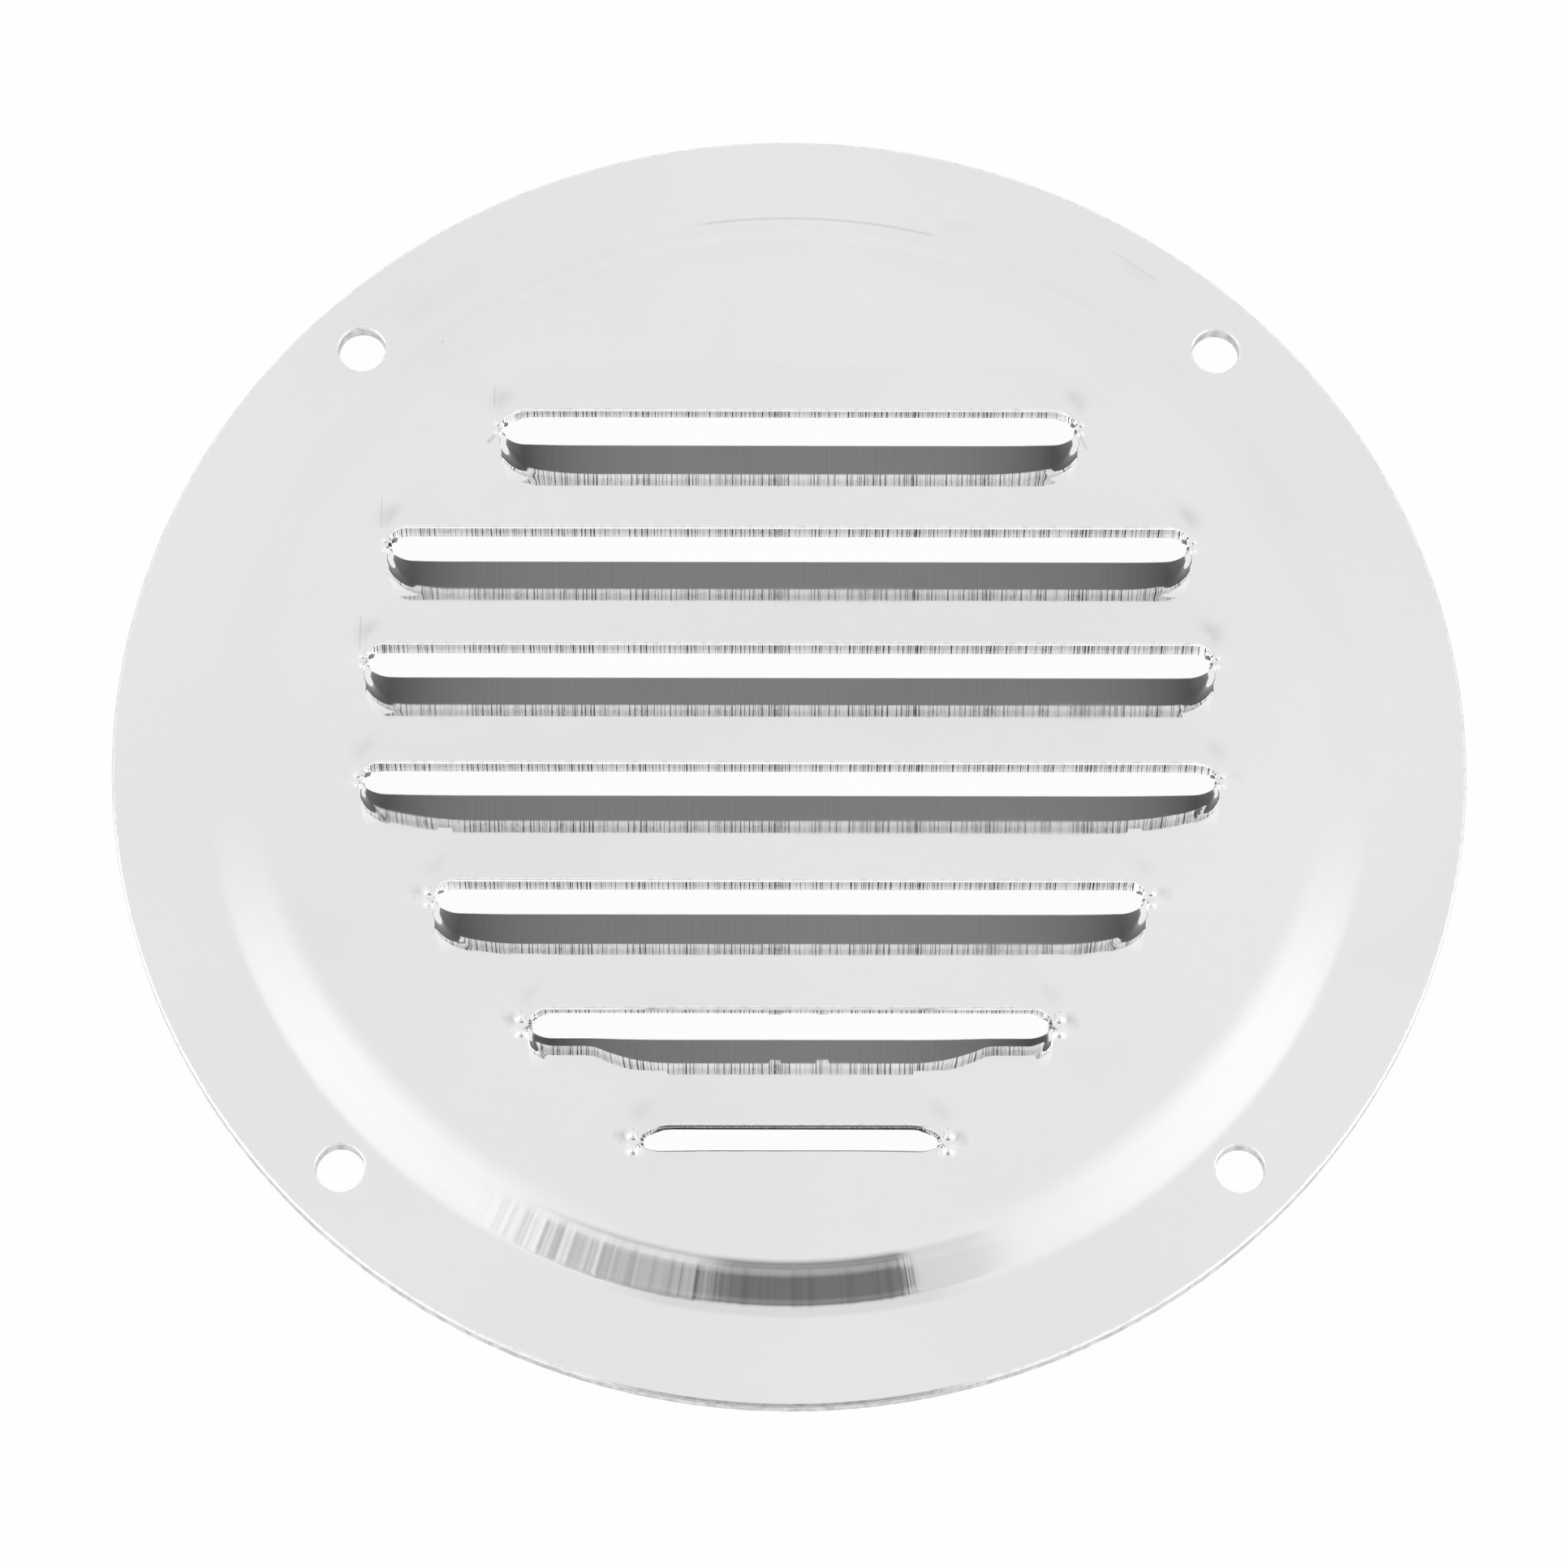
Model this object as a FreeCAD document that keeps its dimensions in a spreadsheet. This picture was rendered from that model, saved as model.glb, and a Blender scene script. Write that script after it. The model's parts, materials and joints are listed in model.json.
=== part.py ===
# Round louvred vent cover: one pressed sheet with a screw flange, a raised pan and seven louvres.
# The sheet lies on its flange: z = 0 is the mounting face and +Z is out of the front.
# The louvres open towards -Y.
import FreeCAD, Part
import math
import os

import Sketcher

V = FreeCAD.Vector
ORIGIN = -1
VERTICAL_AXIS = -2
START, END, CENTRE = range(1, 4)

# Millimetres and degrees. The crease is where the pan's wall meets the flange.
SIZES = {
    "cover_dia": 127.0,
    "sheet": 1.6,
    "rim_roll": 0.4,
    "crease_dia": 110.4,
    "pan_rise": 3.3,
    "wall_angle": 34.0,
    "foot_bend": 2.0,
    "shoulder_bend": 6.0,
    "screw_circle": 116.2,
    "screw_bore": 4.5,
    "screw_count": 4,
    "screw_angle": 45.0,
    # Louvres: a hood stands out above each slit and a lip is pressed in below it.
    "first_slit": 31.4,
    "hood_depth": 6.5,
    "hood_rise": 2.6,
    "hood_back": 0.75,
    "lip_drop": 2.1,
    "lip_back": 0.7,
    "slat_land": 0.2,
    # A hood or lip runs out this far past the face of the plate, and its corners shrink to this radius there.
    "edge_sink": 0.3,
    "tip_round": 0.05,
}
# From the top down. The slits were struck one by one, so their spacing wanders a little.
SLIT_PITCHES = [12.1, 11.8, 11.9, 11.6, 12.4, 11.2]
SLIT_LENGTHS = [56.0, 77.0, 81.0, 81.0, 67.0, 50.0, 29.0]

doc = FreeCAD.newDocument("vent_cover")


def fill_sheet():
    """Writes the driving dimensions into the sheet, one row each, with the name as alias."""
    sheet = doc.addObject("Spreadsheet::Sheet", "sizes")
    pitches = {f"slit_pitch_{i}": pitch for i, pitch in enumerate(SLIT_PITCHES, 1)}
    lengths = {f"slit_length_{i}": length for i, length in enumerate(SLIT_LENGTHS, 1)}
    for row, (alias, value) in enumerate({**SIZES, **pitches, **lengths}.items(), 1):
        sheet.set(f"A{row}", alias)
        sheet.set(f"B{row}", str(value))
        sheet.setAlias(f"B{row}", alias)
    doc.recompute()
    return sheet


sizes = fill_sheet()


def size(alias):
    return float(sizes.get(alias))


def origin_plane(body, role):
    return next(plane for plane in body.Origin.OriginFeatures if plane.Role == role)


def new_sketch(body, name, role, offset=None):
    """A sketch on one of the body's own planes, moved along the plane's normal by an expression."""
    sketch = body.newObject("Sketcher::SketchObject", name)
    sketch.AttachmentSupport = [(origin_plane(body, role), "")]
    sketch.MapMode = "FlatFace"
    if offset:
        sketch.setExpression("AttachmentOffset.Base.z", offset)
    return sketch


def relate(sketch, kind, *places):
    sketch.addConstraint(Sketcher.Constraint(kind, *places))


def dimension(sketch, name, kind, places, start_value, expression):
    index = sketch.addConstraint(Sketcher.Constraint(kind, *places, start_value))
    sketch.renameConstraint(index, name)
    sketch.setExpression(f"Constraints.{name}", expression)


def line(sketch, start, end):
    return sketch.addGeometry(Part.LineSegment(V(*start, 0), V(*end, 0)))


def arc(sketch, centre, radius, start_deg, end_deg):
    circle = Part.Circle(V(*centre, 0), V(0, 0, 1), radius)
    return sketch.addGeometry(Part.ArcOfCircle(circle, math.radians(start_deg), math.radians(end_deg)))


def join_smooth(sketch, first, first_end, second, second_end):
    relate(sketch, "Tangent", first, first_end, second, second_end)


def pan_profile(body):
    """Half section of the sheet: plateau, shoulder, sloping wall, foot and flange, at one thickness."""
    sketch = new_sketch(body, "pan_profile", "XZ_Plane")
    thick, rise, slope = size("sheet"), size("pan_rise"), math.radians(size("wall_angle"))
    shoulder, foot, roll = size("shoulder_bend"), size("foot_bend"), size("rim_roll")
    rim, crease = size("cover_dia") / 2, size("crease_dia") / 2
    top = thick + rise
    lean = (math.sin(slope), math.cos(slope))
    reach = (shoulder + foot - (shoulder + foot - rise) * lean[1]) / lean[0]
    plateau = crease - reach
    shoulder_centre = (plateau, top - shoulder)
    foot_centre = (crease, thick + foot)
    turn = math.degrees(slope)

    def beside(centre, radius):
        return (centre[0] + radius * lean[0], centre[1] + radius * lean[1])

    front_top = line(sketch, (0, top), (plateau, top))
    front_shoulder = arc(sketch, shoulder_centre, shoulder, 90 - turn, 90)
    front_slope = line(sketch, beside(shoulder_centre, shoulder), beside(foot_centre, -foot))
    front_foot = arc(sketch, foot_centre, foot, 270 - turn, 270)
    front_flange = line(sketch, (crease, thick), (rim - roll, thick))
    rim_roll = arc(sketch, (rim - roll, thick - roll), roll, 0, 90)
    rim_edge = line(sketch, (rim, thick - roll), (rim, 0))
    back_flange = line(sketch, (rim, 0), (crease, 0))
    back_foot = arc(sketch, foot_centre, foot + thick, 270 - turn, 270)
    back_slope = line(sketch, beside(foot_centre, -foot - thick), beside(shoulder_centre, shoulder - thick))
    back_shoulder = arc(sketch, shoulder_centre, shoulder - thick, 90 - turn, 90)
    back_top = line(sketch, (plateau, top - thick), (0, top - thick))
    axis = line(sketch, (0, top - thick), (0, top))

    join_smooth(sketch, front_top, END, front_shoulder, END)
    join_smooth(sketch, front_shoulder, START, front_slope, START)
    join_smooth(sketch, front_slope, END, front_foot, START)
    join_smooth(sketch, front_foot, END, front_flange, START)
    join_smooth(sketch, front_flange, END, rim_roll, END)
    join_smooth(sketch, rim_roll, START, rim_edge, START)
    relate(sketch, "Coincident", rim_edge, END, back_flange, START)
    join_smooth(sketch, back_flange, END, back_foot, END)
    join_smooth(sketch, back_foot, START, back_slope, START)
    join_smooth(sketch, back_slope, END, back_shoulder, START)
    join_smooth(sketch, back_shoulder, END, back_top, START)
    relate(sketch, "Coincident", back_top, END, axis, START)
    relate(sketch, "Coincident", axis, END, front_top, START)
    relate(sketch, "Coincident", front_shoulder, CENTRE, back_shoulder, CENTRE)
    relate(sketch, "Coincident", front_foot, CENTRE, back_foot, CENTRE)
    for level in (front_top, front_flange, back_flange, back_top):
        relate(sketch, "Horizontal", level)
    for upright in (rim_edge, axis):
        relate(sketch, "Vertical", upright)
    relate(sketch, "PointOnObject", axis, START, VERTICAL_AXIS)
    relate(sketch, "PointOnObject", back_flange, START, ORIGIN)

    dimension(sketch, "rim", "DistanceX", (ORIGIN, START, back_flange, START), rim, "sizes.cover_dia / 2")
    dimension(sketch, "plateau_thick", "DistanceY", (axis, START, axis, END), thick, "sizes.sheet")
    flange = (back_flange, START, front_flange, END)
    dimension(sketch, "flange_thick", "DistanceY", flange, thick, "sizes.sheet")
    dimension(sketch, "rise", "DistanceY", (front_flange, START, front_top, END), rise, "sizes.pan_rise")
    foot_place = (ORIGIN, START, front_foot, CENTRE)
    dimension(sketch, "crease", "DistanceX", foot_place, crease, "sizes.crease_dia / 2")
    dimension(sketch, "wall", "Angle", (front_slope,), -slope, "-sizes.wall_angle * 1 deg")
    dimension(sketch, "shoulder", "Radius", (front_shoulder,), shoulder, "sizes.shoulder_bend")
    dimension(sketch, "foot", "Radius", (front_foot,), foot, "sizes.foot_bend")
    dimension(sketch, "roll", "Radius", (rim_roll,), roll, "sizes.rim_roll")
    return sketch


def add_pan(body):
    profile = pan_profile(body)
    pan = body.newObject("PartDesign::Revolution", "pan")
    pan.Profile = profile
    pan.ReferenceAxis = (profile, ["V_Axis"])
    pan.Angle = 360
    doc.recompute()


def add_screw_holes(body):
    """One plain bore through the flange, repeated evenly round the cover."""
    sketch = new_sketch(body, "screw_place", "XY_Plane", "sizes.sheet")
    turn = math.radians(size("screw_angle"))
    reach = size("screw_circle") / 2
    place = V(reach * math.cos(turn), reach * math.sin(turn), 0)
    bore = sketch.addGeometry(Part.Circle(place, V(0, 0, 1), size("screw_bore") / 2))
    across = "sizes.screw_circle / 2 * cos(sizes.screw_angle * 1 deg)"
    along = "sizes.screw_circle / 2 * sin(sizes.screw_angle * 1 deg)"
    dimension(sketch, "across", "DistanceX", (ORIGIN, START, bore, CENTRE), place.x, across)
    dimension(sketch, "along", "DistanceY", (ORIGIN, START, bore, CENTRE), place.y, along)
    dimension(sketch, "bore", "Radius", (bore,), size("screw_bore") / 2, "sizes.screw_bore / 2")
    hole = body.newObject("PartDesign::Pocket", "screw_hole")
    hole.Profile = sketch
    hole.Type = "ThroughAll"
    doc.recompute()
    holes = body.newObject("PartDesign::PolarPattern", "screw_holes")
    holes.Originals = [hole]
    holes.Axis = (sketch, ["N_Axis"])
    holes.Angle = 360
    holes.setExpression("Occurrences", "sizes.screw_count")
    body.Tip = holes
    doc.recompute()


FRONT = "(sizes.sheet + sizes.pan_rise)"
BACK = "sizes.pan_rise"
MID_SHEET = f"({FRONT} - sizes.sheet / 2)"
HOOD_SLOPE = "((sizes.hood_rise + sizes.edge_sink) / (sizes.hood_depth - sizes.hood_back))"
HOOD_WALL = f"(sizes.sheet * sqrt(1 + {HOOD_SLOPE}^2))"


def value_of(expression):
    """The number that an expression on the sheet gives now."""
    result = sizes.evalExpression(expression)
    return float(getattr(result, "Value", result))


def section(body, name, along, width, base, level, corner):
    """A straight-sided outline across the cover with two rounded corners, at a place along Y.

    It stands on the base height and its flat side lies at the level; the corners are on that side.
    """
    sketch = new_sketch(body, name, "XZ_Plane", f"-({along})")
    half = value_of(width) / 2
    base_z, level_z, radius = value_of(base), value_of(level), value_of(corner)
    up = level_z > base_z
    spring = level_z - radius if up else level_z + radius
    foot = line(sketch, (-half, base_z), (half, base_z))
    right = line(sketch, (half, base_z), (half, spring))
    left = line(sketch, (-half, base_z), (-half, spring))
    flat = line(sketch, (radius - half, level_z), (half - radius, level_z))
    right_turn, left_turn = ((0, 90), (90, 180)) if up else ((270, 360), (180, 270))
    right_corner = arc(sketch, (half - radius, spring), radius, *right_turn)
    left_corner = arc(sketch, (radius - half, spring), radius, *left_turn)
    first, last = (START, END) if up else (END, START)

    relate(sketch, "Coincident", foot, END, right, START)
    relate(sketch, "Coincident", foot, START, left, START)
    join_smooth(sketch, right, END, right_corner, first)
    join_smooth(sketch, right_corner, last, flat, END)
    join_smooth(sketch, flat, START, left_corner, first)
    join_smooth(sketch, left_corner, last, left, END)
    relate(sketch, "Horizontal", flat)
    relate(sketch, "Vertical", right)
    relate(sketch, "Vertical", left)
    relate(sketch, "Symmetric", foot, START, foot, END, VERTICAL_AXIS)
    relate(sketch, "Equal", right_corner, left_corner)
    dimension(sketch, "width", "DistanceX", (foot, START, foot, END), 2 * half, width)
    dimension(sketch, "base", "DistanceY", (ORIGIN, START, foot, START), base_z, base)
    dimension(sketch, "level", "DistanceY", (ORIGIN, START, flat, START), level_z, level)
    dimension(sketch, "corner", "Radius", (right_corner,), radius, corner)
    return sketch


def taper(body, kind, name, mouth, end):
    """A straight-sided loft from the section at the slit to the section where it runs out in the plate."""
    loft = body.newObject(f"PartDesign::{kind}", name)
    loft.Profile = section(body, f"{name}_mouth", *mouth)
    loft.Sections = [section(body, f"{name}_end", *end)]
    loft.Ruled = True
    loft.Refine = False
    body.Tip = loft
    doc.recompute()


def add_slit(body, number, place, length):
    """The cut through the plate, as wide as the hood and the lip have drawn apart, with round ends."""
    sketch = new_sketch(body, f"slit_{number}_outline", "XY_Plane", FRONT)
    sketch.setExpression("AttachmentOffset.Base.y", place)
    top, bottom, half = size("hood_back"), -size("lip_back"), value_of(length) / 2
    radius, middle = (top - bottom) / 2, (top + bottom) / 2
    lower = line(sketch, (radius - half, bottom), (half - radius, bottom))
    upper = line(sketch, (radius - half, top), (half - radius, top))
    right = arc(sketch, (half - radius, middle), radius, -90, 90)
    left = arc(sketch, (radius - half, middle), radius, 90, 270)
    join_smooth(sketch, lower, END, right, START)
    join_smooth(sketch, right, END, upper, END)
    join_smooth(sketch, upper, START, left, START)
    join_smooth(sketch, left, END, lower, START)
    relate(sketch, "Symmetric", lower, START, lower, END, VERTICAL_AXIS)
    gap = "(sizes.hood_back + sizes.lip_back)"
    dimension(sketch, "low", "DistanceY", (lower, START, ORIGIN, START), -bottom, "sizes.lip_back")
    dimension(sketch, "end", "Radius", (right,), radius, f"{gap} / 2")
    run = 2 * (half - radius)
    dimension(sketch, "straight", "DistanceX", (lower, START, lower, END), run, f"{length} - {gap}")
    slit = body.newObject("PartDesign::Pocket", f"slit_{number}")
    slit.Profile = sketch
    slit.Type = "ThroughAll"
    slit.Refine = False
    doc.recompute()


def add_hood(body, number, place, length):
    """The metal above the slit, pushed out of the front: an outer form and the hollow behind it."""
    mouth, end = f"{place} + sizes.hood_back", f"{place} + sizes.hood_depth"
    inner = f"{length} - 2 * sizes.sheet"
    below = f"{BACK} - sizes.sheet"
    peak, sunk = f"{FRONT} + sizes.hood_rise", f"{FRONT} - sizes.edge_sink"
    outer_mouth = (mouth, length, MID_SHEET, peak, "sizes.hood_rise")
    outer_end = (end, length, MID_SHEET, sunk, "sizes.tip_round")
    taper(body, "AdditiveLoft", f"hood_{number}", outer_mouth, outer_end)
    inner_mouth = (mouth, inner, below, f"{peak} - {HOOD_WALL}", "sizes.hood_rise - sizes.sheet")
    inner_end = (end, inner, below, f"{sunk} - {HOOD_WALL}", "sizes.tip_round")
    taper(body, "SubtractiveLoft", f"hood_{number}_hollow", inner_mouth, inner_end)


def add_lip(body, number, place, length):
    """The metal below the slit, pressed in: a form behind the plate and the hollow in front of it.

    It reaches down to the hood of the next slit.
    """
    depth = f"(sizes.slit_pitch_{number} - sizes.hood_depth - sizes.slat_land)"
    slope = f"((sizes.lip_drop + sizes.edge_sink) / ({depth} - sizes.lip_back))"
    wall = f"(sizes.sheet * sqrt(1 + {slope}^2))"
    mouth, end = f"{place} - sizes.lip_back", f"{place} - {depth}"
    outer = f"{length} + sizes.sheet"
    above = f"{FRONT} + sizes.sheet"
    deep, proud = f"{FRONT} - sizes.lip_drop", f"{FRONT} + sizes.edge_sink"
    outer_mouth = (mouth, outer, MID_SHEET, f"{deep} - {wall}", "sizes.lip_drop")
    outer_end = (end, outer, MID_SHEET, f"{proud} - {wall}", "sizes.tip_round")
    taper(body, "AdditiveLoft", f"lip_{number}", outer_mouth, outer_end)
    inner_mouth = (mouth, length, above, deep, "sizes.lip_drop")
    inner_end = (end, length, above, proud, "sizes.tip_round")
    taper(body, "SubtractiveLoft", f"lip_{number}_hollow", inner_mouth, inner_end)


def add_louvres(body):
    """Seven slits from the top down. The plate below the last slit stays flat."""
    count = len(SLIT_LENGTHS)
    for number in range(1, count + 1):
        steps = "".join(f" - sizes.slit_pitch_{step}" for step in range(1, number))
        place = f"(sizes.first_slit{steps})"
        length = f"sizes.slit_length_{number}"
        add_slit(body, number, place, length)
        add_hood(body, number, place, length)
        if number < count:
            add_lip(body, number, place, length)


def check_and_write(body):
    """Stops on any failed object or bad shape, then writes the node's file."""
    failed = [item.Name for item in doc.Objects if {"Invalid", "Error"} & set(item.State)]
    shape = body.Shape
    if failed or shape.isNull() or not shape.isValid() or len(shape.Solids) != 1:
        raise RuntimeError(f"the model did not build: {failed}")
    os.makedirs("parts", exist_ok=True)
    shape.exportStep(os.path.join("parts", f"{body.Label}.step"))
    print(body.Label, "volume", round(shape.Volume, 1), "mm3")


cover = doc.addObject("PartDesign::Body", "vent_cover")
cover.Label = "vent_cover"
cover.Placement = FreeCAD.Placement()
add_pan(cover)
add_screw_holes(cover)
add_louvres(cover)
check_and_write(cover)
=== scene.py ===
# Round louvred vent cover: one pressed sheet of polished steel, lying on a pale floor.
import json
import math

import bpy
import numpy as np
from mathutils import Matrix, Vector, geometry


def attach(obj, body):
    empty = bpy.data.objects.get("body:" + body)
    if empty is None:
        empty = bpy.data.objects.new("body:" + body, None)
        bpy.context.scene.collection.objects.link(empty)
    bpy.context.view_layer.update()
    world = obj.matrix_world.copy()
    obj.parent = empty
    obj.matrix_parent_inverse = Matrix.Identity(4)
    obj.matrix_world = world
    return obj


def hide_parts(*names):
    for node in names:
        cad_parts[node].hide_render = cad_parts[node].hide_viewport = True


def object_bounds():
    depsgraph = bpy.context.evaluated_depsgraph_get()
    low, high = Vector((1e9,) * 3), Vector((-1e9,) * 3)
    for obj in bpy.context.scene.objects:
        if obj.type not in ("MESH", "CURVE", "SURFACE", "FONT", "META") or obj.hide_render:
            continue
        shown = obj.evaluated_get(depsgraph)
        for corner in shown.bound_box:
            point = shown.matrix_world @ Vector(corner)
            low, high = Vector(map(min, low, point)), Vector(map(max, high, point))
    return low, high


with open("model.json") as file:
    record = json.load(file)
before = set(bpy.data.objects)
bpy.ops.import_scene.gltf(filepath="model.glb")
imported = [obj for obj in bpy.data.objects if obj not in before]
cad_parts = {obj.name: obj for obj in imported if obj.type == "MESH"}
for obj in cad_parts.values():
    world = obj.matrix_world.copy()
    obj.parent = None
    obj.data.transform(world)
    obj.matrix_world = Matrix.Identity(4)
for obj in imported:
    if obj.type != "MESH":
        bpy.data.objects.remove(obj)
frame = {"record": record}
cad_low, cad_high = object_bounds()

MM = 0.001

# The sheet, in millimetres, in the CAD frame: z = 0 is the mounting face and the louvres open towards -Y.
SHEET = 1.6
RIM = min(-cad_low.x, cad_high.x, -cad_low.y, cad_high.y) / MM
RIM_ROLL = 0.3
PAN_TOP = 4.9
CREASE = 55.2
WALL_ANGLE = math.radians(34)
FOOT_BEND = 2.0
SHOULDER_BEND = 6.0

screw_pattern = next(mount for mount in frame["record"]["mounts"] if mount["name"] == "screw_holes")
SCREW_CIRCLE = screw_pattern["dims"]["pcd_mm"] / 2
SCREW_BORE = screw_pattern["dims"]["hole_r_mm"]
SCREW_COUNT = screw_pattern["dims"]["count"]
SCREW_ANGLE = math.radians(45)
HOLE_ROLL = 0.2
HOLE_SIDES = 48
ROUND_SIDES = 400

# Louvres, from the top down: a hood stands out above each slit and a lip is pressed in below it.
SLIT_LENGTHS = np.array([56.0, 77.0, 81.0, 81.0, 67.0, 50.0, 29.0])
SLIT_PITCHES = np.array([12.1, 11.8, 11.9, 11.6, 12.4, 11.2])
FIRST_SLIT = 31.4
# The cut itself stops a little short of both ends of a louvre.
CUT_SHORT = np.array([0.5, 0.6, 0.7, 0.6, 0.6, 1.0, 0.8])
# The punch rolls the front face over into a slit. On a hood the roll leans more towards the cut.
SLIT_ROLL = 0.25
ROLL_SHARE = 0.3
ROLL_LEAN = 0.5
# A hood is drawn thin at its edge, which also draws back, and its cut face is undercut.
HOOD_DEPTH = 6.5
HOOD_RISE = 2.6
HOOD_BACK = 0.75
HOOD_THIN = np.array([0.15, 0.06, 0.03, 0.04, 0.08, 0.25, 0.3])
HOOD_UNDERCUTS = np.array([0.42, 0.24, 0.22, 0.3, 0.2, 0.5, 0.75])
# Its ends run down to the sheet in a round, with a softened fold and a buffed slope.
HOOD_ROUND = 0.75
HOOD_SOFT = 0.5
HOOD_LEAN = 0.12
HOOD_ENDS_LEFT = np.array([3.7, 2.0, 2.1, 1.8, 1.8, 2.0, 3.2])
HOOD_ENDS_RIGHT = np.array([3.7, 2.4, 2.4, 3.2, 1.9, 2.0, 3.2])
# A lip reaches down to the hood below it.
LAST_LIP_DEPTH = 5.0
LIP_DEPTHS = np.append(SLIT_PITCHES - HOOD_DEPTH, LAST_LIP_DEPTH)
LIP_BACK = 0.7
# Between two slits the slat is straight, so the lip takes the hood's slope. The last lip stays flat.
SLAT_SLOPE = HOOD_RISE / (HOOD_DEPTH - HOOD_BACK)
LIP_DROPS = SLAT_SLOPE * (LIP_DEPTHS - LIP_BACK) * np.array([1, 1, 1, 1, 1, 1, 0])
# Near its ends a lip eases from its full slope to a share of it, where no hood below holds the slat up.
LIP_SHARES = np.array([0.75, 0.7, 0.75, 0.6, 0.68, 0.6, 0.5])
LIP_EASE_FROM = np.array([0, 0, 0, 0, 0, 6.0, 0])
LIP_EASE_TO = np.array([9.0, 6.0, 4.5, 11.0, 8.0, 13.0, 8.0])
# The hollow of a lip is widest a little below the slit, where it runs out past the slit's end.
LIP_END = 0.6
LIP_FAN = 0.6
LIP_ROUND = 2.4
LIP_BULGE = 0.06
LIP_WIDEST = 0.8
LIP_CORNER = 0.05
LIP_DRAW = 0.3
# At its tips a slit closes, and the walls of metal there are drawn thin.
TIP_TAPER = 2.0
TIP_LEAST = 0.04
TIP_WALL = 0.35
END_WALL_LEAN = 0.1
TIP_THIN = 0.7
TIP_THIN_REACH = 0.9
# Painted shade under a hood: its back is darker towards its ends, but not right at the tips.
END_SHADE_REACH = 5.0
END_UNSHADED = 0.5
END_UNSHADED_FADE = 1.0
# Two burrs hang from the back edge of the sixth hood.
BURR_LOUVRE = 5
BURR_PLACES = (-1.4, 3.0)
BURR_HALF = 0.5
BURR_HANG = 0.35
BURR_SIDE = 0.1

# The small beads of metal above and below each end of a slit, and the pinched crease between them.
BEAD_OUT = np.array([0.2, 0.2, 0.2, 0.25, 0.4, 0.6, 0.6])
BEAD_APART = np.array([0.45, 0.45, 0.45, 0.48, 0.6, 0.75, 0.75])
BEAD_WIDE = np.array([0.3, 0.3, 0.3, 0.33, 0.45, 0.58, 0.58])
BEAD_HIGH = np.array([0.22, 0.22, 0.22, 0.24, 0.32, 0.42, 0.42])
PINCH_LONG = 0.4
PINCH_WIDE = 0.12
PINCH_DEEP = 0.1
# Painted shade above the ends of the slits, where the hoods fold down to the sheet, and beside the large
# beads.
FOLD_SHADE_INSIDE = 0.1
FOLD_SHADE_ABOVE = 2.8
FOLD_SHADE_WIDE = 1.0
FOLD_SHADE_DARK = np.array([0.9, 1.0, 1.0, 0.6, 0.4, 0.4, 0.6])
BEAD_SHADE_OUT = 1.45
BEAD_SHADE_ABOVE = 0.45
BEAD_SHADE_WIDE = 0.5
BEAD_SHADE_DARK = np.array([0.0, 0.0, 0.0, 0.5, 1.6, 2.8, 2.8])
# Painted highlight on the metal drawn steeply round the ends of the slits, and a soft painted glow beside
# each tip.
STEEP_FROM = 0.08
STEEP_RANGE = 0.25
HIGHLIGHT_OUT = 0.3
HIGHLIGHT_EDGE = 2.4
HIGHLIGHT_FADE = 1.4
HALO_OUT = 0.9
HALO_LONG = 1.5
HALO_WIDE = 0.9
HALO_SHARE = np.array([0.1, 0.15, 0.25, 0.35, 0.5, 0.55, 0.55])

SLIT_Y = FIRST_SLIT - np.append(0, np.cumsum(SLIT_PITCHES))
SLIT_HALF = SLIT_LENGTHS / 2 - CUT_SHORT
SHOULDER_FOOT = SHOULDER_BEND + FOOT_BEND
PAN_RISE = PAN_TOP - SHEET
WALL_REACH = (SHOULDER_FOOT - (SHOULDER_FOOT - PAN_RISE) * math.cos(WALL_ANGLE)) / math.sin(WALL_ANGLE)
PLATEAU = CREASE - WALL_REACH


def pan_height(radius):
    """Height of the front face at a distance from the cover's axis, before the louvres are pressed."""
    shoulder_end = PLATEAU + SHOULDER_BEND * math.sin(WALL_ANGLE)
    foot_start = CREASE - FOOT_BEND * math.sin(WALL_ANGLE)
    over = np.clip(radius - PLATEAU, 0, SHOULDER_BEND * math.sin(WALL_ANGLE))
    under = np.clip(CREASE - radius, 0, FOOT_BEND * math.sin(WALL_ANGLE))
    shoulder = PAN_TOP - SHOULDER_BEND + np.sqrt(SHOULDER_BEND ** 2 - over ** 2)
    foot = SHEET + FOOT_BEND - np.sqrt(FOOT_BEND ** 2 - under ** 2)
    wall = shoulder - np.clip(radius - shoulder_end, 0, None) * math.tan(WALL_ANGLE)
    return np.where(radius < foot_start, wall, foot)


def louvre_of(x, y):
    """The louvre of each point of the flat sheet, and 1 in its hood, -1 in its lip or 0 beside both."""
    louvre = np.zeros(len(x), int)
    part = np.zeros(len(x), int)
    for number, (place, half) in enumerate(zip(SLIT_Y, SLIT_HALF)):
        across = np.abs(x) <= half
        hood = across & (y > place) & (y <= place + HOOD_DEPTH)
        lip = (np.abs(x) <= half + LIP_BULGE) & (y < place) & (y >= place - LIP_DEPTHS[number])
        louvre[hood | lip] = number
        part[lip] = -1
        part[hood] = 1
    return louvre, part


def eased_end(inside, reach):
    """0 at the end of a slit, rising like a parabola to 1 at the reach inside it."""
    left = 1 - np.clip(inside / reach, 0, 1)
    return 1 - left ** 2


def rounded_end(inside, reach):
    """The same, rising like a quarter of an ellipse."""
    return np.sqrt(eased_end(inside, reach))


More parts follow.
